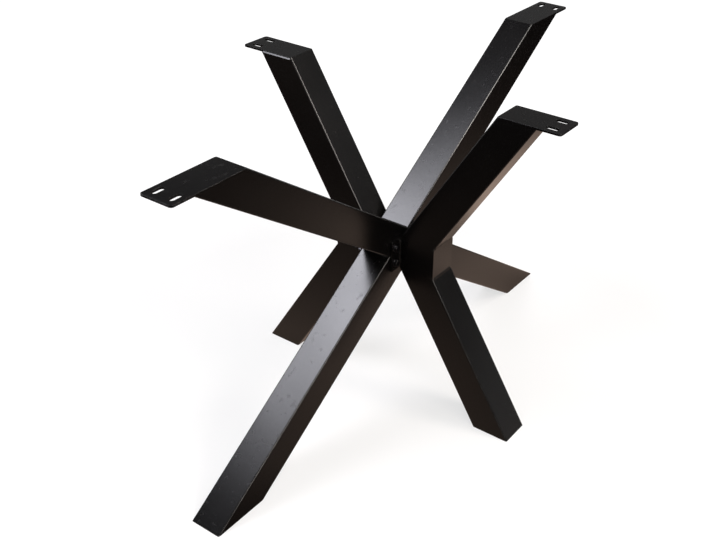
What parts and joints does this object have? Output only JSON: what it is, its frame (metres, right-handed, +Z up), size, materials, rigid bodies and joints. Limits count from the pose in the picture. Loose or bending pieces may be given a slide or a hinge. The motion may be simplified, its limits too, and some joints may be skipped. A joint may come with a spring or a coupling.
{
  "type": "x shaped table leg",
  "caption": "Free-standing table base of square steel tube: a long X frame crossed at its middle by a shorter one, with slotted plates on top that take a table top's screws.",
  "frame": {"origin": "middle of the base on the floor", "axes": "+X along the long frame, +Y to the back half of the short frame, +Z up"},
  "size_m": [1.2656, 0.7396, 0.71],
  "materials": {
    "powder_coat": "satin",
    "fastener": "black zinc"
  },
  "bodies": {
    "root": {"long_through_bar": "powder_coat", "long_upper_arm": "powder_coat", "long_lower_arm": "powder_coat", "long_top_plate_left": "powder_coat", "long_top_plate_right": "powder_coat", "long_foot_plate_left": "powder_coat", "long_foot_plate_right": "powder_coat", "front_upper_arm": "powder_coat", "front_lower_arm": "powder_coat", "front_stub": "powder_coat", "front_stub_cap": "powder_coat", "front_flange": "powder_coat", "front_top_plate": "powder_coat", "front_foot_plate": "powder_coat", "back_upper_arm": "powder_coat", "back_lower_arm": "powder_coat", "back_stub": "powder_coat", "back_stub_cap": "powder_coat", "back_flange": "powder_coat", "back_top_plate": "powder_coat", "back_foot_plate": "powder_coat", "hub_bolts": "fastener", "hub_head_washers": "fastener", "hub_nut_washers": "fastener", "hub_nuts": "fastener"}
  },
  "joints": []
}
